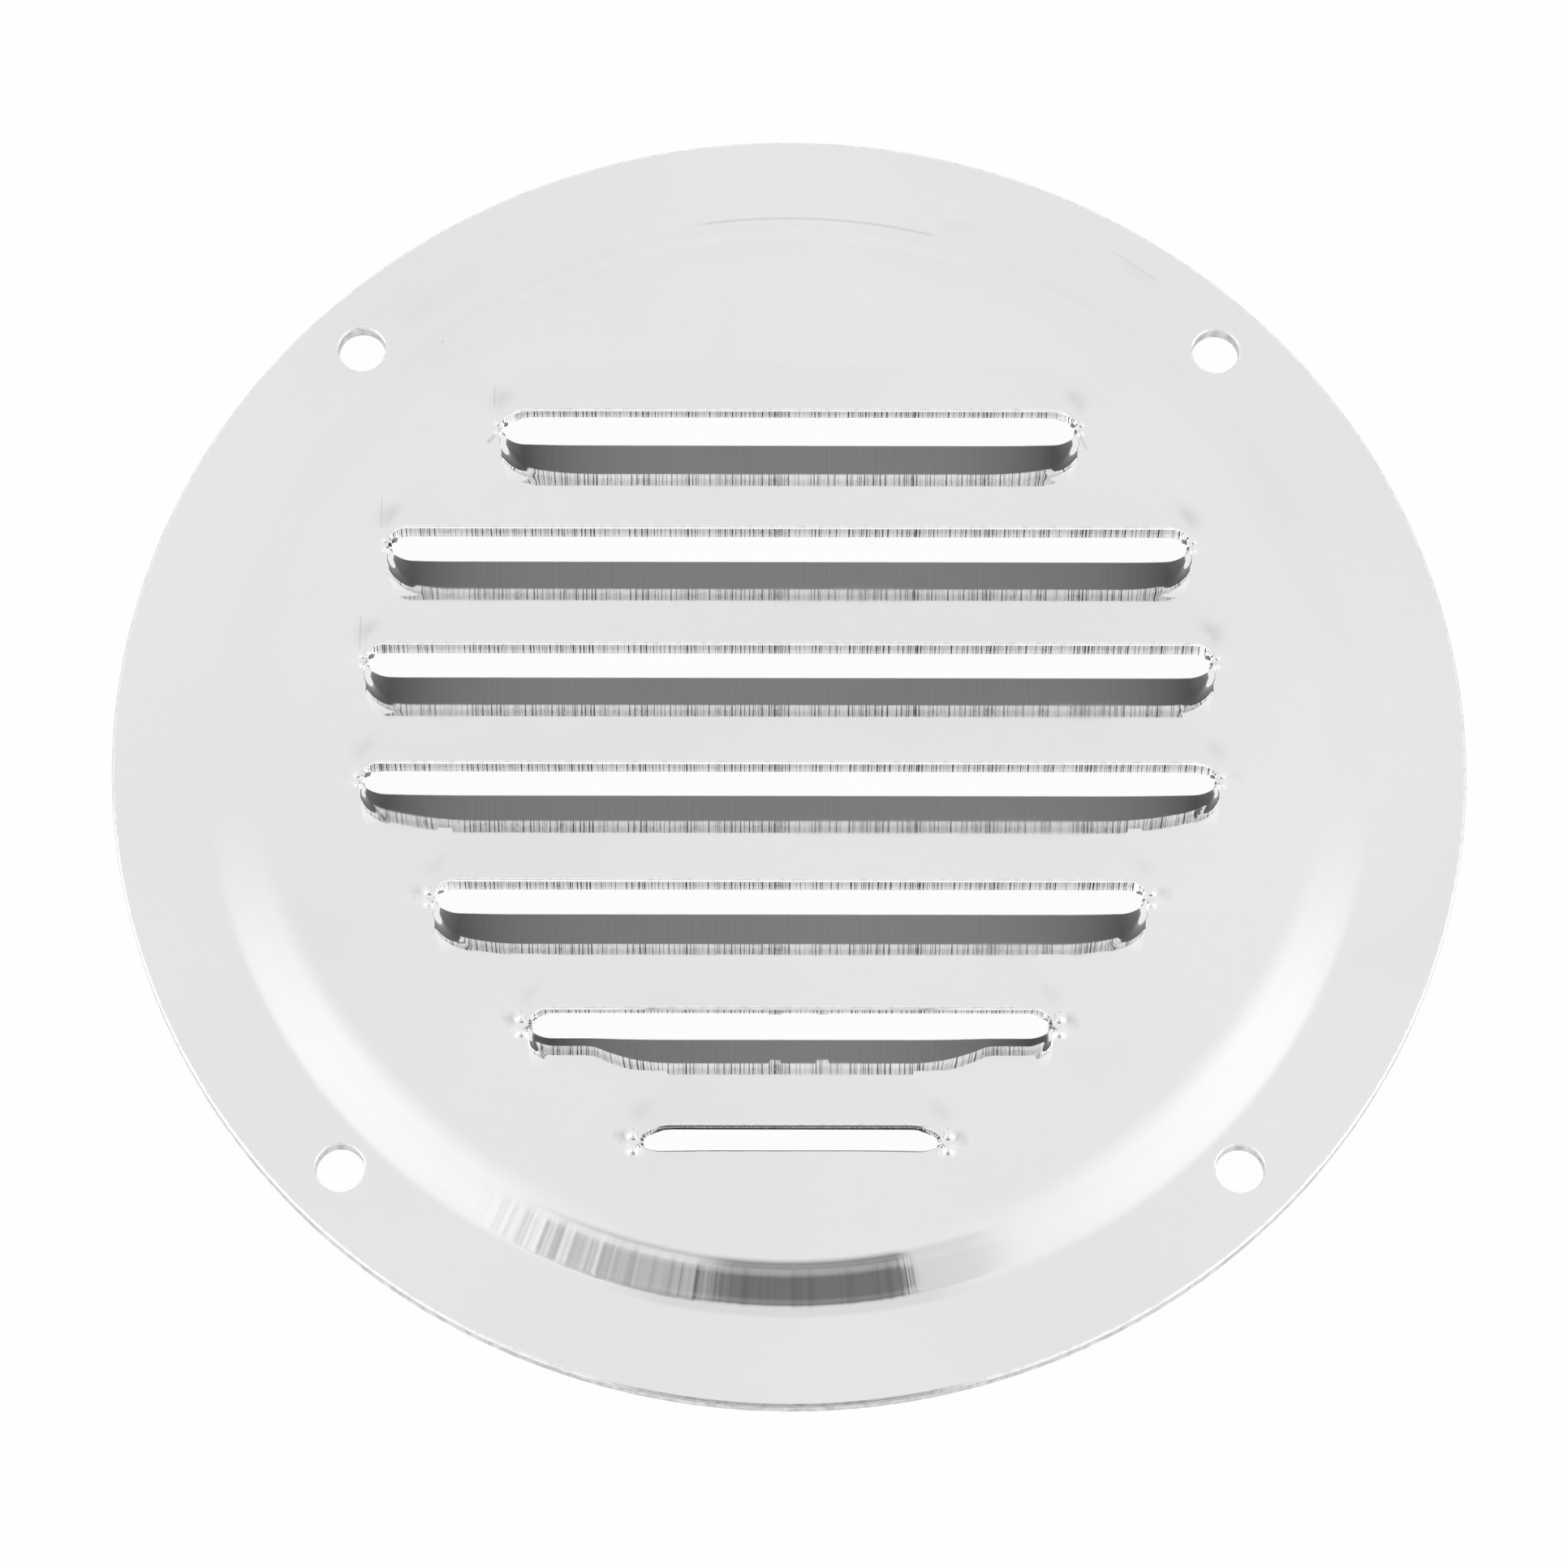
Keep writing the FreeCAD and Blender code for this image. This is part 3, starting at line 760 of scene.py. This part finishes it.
def polished_front():
    """Mirror-polished steel: faint clouds, small marks, draw marks on the near wall, painted shade at the
    wall's foot, along the hood folds and round the slits' ends, and painted highlights where the face is
    drawn steeply round them.
    """
    material, finish = new_finish("polished_front")
    spot = finish.place_mm()
    x, y, _ = finish.parts_of(spot)
    radius = (x ** 2 + y ** 2) ** 0.5
    turn = finish.add("ShaderNodeMath", {"operation": "ARCTAN2"}, {0: x, 1: 0 - y})
    turned = abs(turn)
    smudge = finish.between(finish.noise(spot, 0.06, 4.0, 0.6), 0.5, 0.75)
    cloud = finish.noise(spot, 0.03, 3.0)
    buffing = finish.noise(spot, 0.9, 3.0)

    wall = finish.band(radius, (50.8, 51.6), (54.0, 54.6))
    marks = finish.streaks(turn, 45.0, 3.0)
    ribbed = finish.band(turn, (-0.62, -0.5), (-0.22, -0.1))
    ribs = finish.streaks(turn, 28.0, 2.0) * ribbed
    marked = 1 - finish.between(turn, 0.2, 0.25)
    draw_marks = (marks * 0.008 + ribs * 0.09) * wall * marked * (1 - finish.between(turned, 1.2, 1.8))
    bowed = finish.between(radius, 50.9, 52.2) * 0.085 + finish.between(radius, 53.4, 54.4) * 0.05
    height = draw_marks + bowed + finish.noise(spot, 0.25, 2.0) * 0.004

    # Painted shade along the crease at the wall's foot, across the top.
    crease = finish.band(radius, (54.95, 55.15), (55.15, 55.45))
    crease_span = finish.band(x, (-9.5, -7.5), (13.0, 15.0))
    crease_shade = crease * finish.between(y, 0, 1) * crease_span
    # Painted shade in the wall's foot along the bottom.
    shade_band = finish.band(radius, (53.9, 54.3), (54.9, 55.4))
    foot_shade = shade_band * (1 - finish.between(turned, 0.2, 0.34))
    near_wall = wall * (1 - finish.between(turned, 0.35, 0.6))
    tone = 0.82 + cloud * 0.26 + buffing * 0.03 - smudge * 0.04 - crease_shade * 0.3 - foot_shade * 0.2
    tone = tone - near_wall * marked * finish.between(marks, 0.45, 0.7) * 0.3
    # Painted shade above the ends of the slits and beside the large beads.
    tone = tone - finish.measure("end_shade") * 0.3
    # Painted shade along the folds at the hoods' ends, and marks that the tools left on the face.
    for start, stop, width, depth in FACE_MARKS_AND_FOLD_SHADE:
        tone = tone - finish.line_mark(x, y, start, stop, width) * depth
    steel = finish.shade((0.45, 0.45, 0.45), (0.923, 0.925, 0.928), tone)
    # Painted highlight: white where the face is drawn steeply round the slits' ends, and a soft painted glow
    # by the tips.
    highlighted = {"Factor": finish.measure("drawn"), "A": steel, "B": (1, 1, 1, 1)}
    finish.metal({
        "Base Color": finish.add("ShaderNodeMix", {"data_type": "RGBA"}, highlighted, output="Result"),
        "Roughness": 0.05 + smudge * 0.07,
        "Normal": finish.bump(height, MM),
    })
    return material


def rolled_edge():
    """The roll where the die drew the polished face over the cut, rubbing it bright: a little lighter than
    the face, partly as a painted highlight, and with painted shade along the bottom of the rim.
    """
    material, finish = new_finish("rolled_edge")
    spot = finish.place_mm()
    _, y, _ = finish.parts_of(spot)
    wear = finish.noise(spot, 1.5, 3.0)
    # Painted shade on the roll along the bottom of the rim.
    shade_band = 1 - finish.between(y, -62.6, -60.5)
    tone = 0.8 + finish.between(wear, 0.35, 0.55) * 0.2 - shade_band * 0.7
    finish.metal({
        "Base Color": finish.shade((0.4, 0.4, 0.4), (1.0, 1.0, 1.0), tone),
        "Roughness": 0.12 + wear * 0.12,
    })
    return material


def sheared_edge():
    """Bare cut metal, scored straight across: smooth and dark at the front, torn and bright behind."""
    material, finish = new_finish("sheared_edge")
    run = finish.measure("edge_run")
    fine = finish.streaks(run, 6.0, 3.0)
    broad = finish.streaks(run, 0.3, 2.0)
    grain = finish.noise(finish.place_mm(), 3.5, 2.0)
    torn = finish.between(finish.measure("edge_depth") + fine * 0.5 + broad * 0.5, 0.9, 1.3)
    scored = finish.between(fine * 0.7 + broad * 0.2 + grain * 0.1, 0.4, 0.5)
    finish.metal({
        "Base Color": finish.shade((0.04, 0.04, 0.04), (1.0, 1.0, 1.0), scored * 0.8 + torn * 0.2),
        "Roughness": 0.3 + grain * 0.2,
        "Normal": finish.bump(fine * 0.02, MM),
    })
    return material


def blanked_edge():
    """The outer rim and the hole walls: cut neatly by a blanking die, light grey and a little mottled."""
    material, finish = new_finish("blanked_edge")
    spot = finish.place_mm()
    mottle = finish.noise(spot, 0.7, 2.0) * 0.7 + finish.streaks(finish.measure("edge_run"), 1.4, 2.0) * 0.3
    finish.metal({
        "Base Color": finish.shade((0.6, 0.6, 0.6), (0.84, 0.84, 0.84), finish.between(mottle, 0.35, 0.65)),
        "Roughness": 0.45 + mottle * 0.15,
    })
    return material


def mill_back():
    """The unpolished back of the sheet: dull, with a fine grain from the rolling mill; its colour is kept
    dark, partly as painted shade for the undersides of the hoods.
    """
    material, finish = new_finish("mill_back")
    spot = finish.place_mm()
    x, _, _ = finish.parts_of(spot)
    grain = finish.streaks(x, 4.0, 3.0)
    cloud = finish.noise(spot, 0.08, 3.0)
    # Painted shade: the back under a hood is darker towards its ends.
    tone = (0.7 + grain * 0.15 + cloud * 0.15) * (1 - finish.measure("end_shade") * 0.95)
    finish.metal({
        "Base Color": finish.shade((0, 0, 0), (0.33, 0.33, 0.335), tone),
        "Roughness": 0.34 + cloud * 0.14,
        "Normal": finish.bump(grain * 0.004, MM),
    })
    return material


def build_cover():
    mesh = press_cover()
    for material in (polished_front(), rolled_edge(), sheared_edge(), blanked_edge(), mill_back()):
        mesh.materials.append(material)
    cover = bpy.data.objects.new("pressed_cover", mesh)
    bpy.context.collection.objects.link(cover)
    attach(cover, "root")
    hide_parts("vent_cover")


WALL_LIGHT = 0.865


def seen_directly(finish):
    """1 for what the camera, mirror faces and clear things see, 0 for light on a dull surface."""
    camera, glossy, clear = (finish.add("ShaderNodeLightPath", output=f"Is {kind} Ray")
                             for kind in ("Camera", "Glossy", "Transmission"))
    return finish.between(camera + glossy + clear, 0.0, 1.0)


def lay_floor():
    size, level = 1.5, cad_low.z - 0.0002
    corners = [(-size, -size, level), (size, -size, level), (size, size, level), (-size, size, level)]
    mesh = bpy.data.meshes.new("floor")
    mesh.from_pydata(corners, [], [(0, 1, 2, 3)])
    material, finish = new_finish("pale_floor")
    matt = finish.add("ShaderNodeBsdfDiffuse", None, {"Color": (0.9, 0.9, 0.9, 1)})
    camera = finish.add("ShaderNodeLightPath", output="Is Camera Ray")
    white = finish.shade((WALL_LIGHT,) * 3, (1, 1, 1), camera)
    glow = finish.add("ShaderNodeEmission", None, {"Color": white, "Strength": 1.0})
    surface = finish.add("ShaderNodeMixShader", None, {0: seen_directly(finish) * 0.97, 1: matt, 2: glow})
    finish.add("ShaderNodeOutputMaterial", None, {"Surface": surface})
    mesh.materials.append(material)
    floor = bpy.data.objects.new("floor", mesh)
    bpy.context.collection.objects.link(floor)


def light_room():
    """A white room, brighter at both sides, with a dark gap in front where the camera stands."""
    world = bpy.data.worlds.new("white_room")
    bpy.context.scene.world = world
    finish = Finish(world)
    direction = finish.add("ShaderNodeTexCoord", output="Generated")
    x, y, z = finish.parts_of(direction)
    front = 0 - y
    aside = x / finish.add("ShaderNodeMath", {"operation": "MAXIMUM"}, {0: front, 1: 0.05})
    left = finish.between(aside, -1.0, -0.4)
    core = finish.between(aside, -0.26, -0.12) * 0.37 + left * 0.24
    gap = core * (1 - finish.between(aside, 0.3, 0.36)) + left * (1 - finish.between(aside, 0.5, 0.7)) * 0.18
    level = finish.band(z, (0.5, 0.6), (0.67, 0.84))
    gloom = gap * level * finish.between(front, 0.0, 0.2)
    glow = finish.between(abs(x), 0.1, 0.85) * finish.between(front, -0.3, 0.2)
    low_front = finish.between(front, 0.3, 0.6) * (1 - finish.between(z, 0.28, 0.36))
    behind = finish.between(y, 0.2, 0.6) * (1 - finish.between(z, 0.3, 0.8))
    camera = finish.add("ShaderNodeLightPath", output="Is Camera Ray")
    room = (1 + glow * 0.22 + low_front * 0.2 - gloom - behind * 0.015) * WALL_LIGHT
    sky = finish.add("ShaderNodeBackground", None, {"Color": camera + (1 - camera) * room, "Strength": 1.0})
    finish.add("ShaderNodeOutputWorld", None, {"Surface": sky})

    for name, place in (("low_lamp_left", (-0.7, -0.15, 0.13)), ("low_lamp_right", (0.7, -0.15, 0.13))):
        lamp = bpy.data.lights.new(name, "AREA")
        lamp.shape = "RECTANGLE"
        lamp.size = 0.5
        lamp.size_y = 0.12
        lamp.energy = 2.0
        stand = bpy.data.objects.new(name, lamp)
        stand.location = place
        stand.rotation_euler = (-Vector(place)).to_track_quat("-Z", "Y").to_euler()
        bpy.context.collection.objects.link(stand)


def place_camera():
    """A long lens well above the cover, turned and rolled a little, looking at the flange's front."""
    distance, lens, sensor = 0.560, 137.12, 36.0
    azimuth, elevation, roll = math.radians(-1.3), math.radians(68.87), math.radians(1.3)
    target = Vector((0, 0, SHEET * MM))
    image, target_pixel = 1932, (973.0, 922.3)
    level = math.cos(elevation)
    back = Vector((math.sin(azimuth) * level, -math.cos(azimuth) * level, math.sin(elevation)))
    right = Vector((math.cos(azimuth), math.sin(azimuth), 0))
    up = back.cross(right)
    rolled_right = math.cos(roll) * right + math.sin(roll) * up
    rolled_up = math.cos(roll) * up - math.sin(roll) * right
    data = bpy.data.cameras.new("camera")
    data.lens = lens
    data.sensor_width = sensor
    data.shift_x = (image / 2 - target_pixel[0]) / image
    data.shift_y = (target_pixel[1] - image / 2) / image
    camera = bpy.data.objects.new("camera", data)
    turn = Matrix((rolled_right, rolled_up, back)).transposed()
    camera.matrix_world = Matrix.Translation(target + distance * back) @ turn.to_4x4()
    bpy.context.collection.objects.link(camera)
    bpy.context.scene.camera = camera


build_cover()
lay_floor()
light_room()
place_camera()
bpy.context.scene.view_settings.view_transform = "Standard"
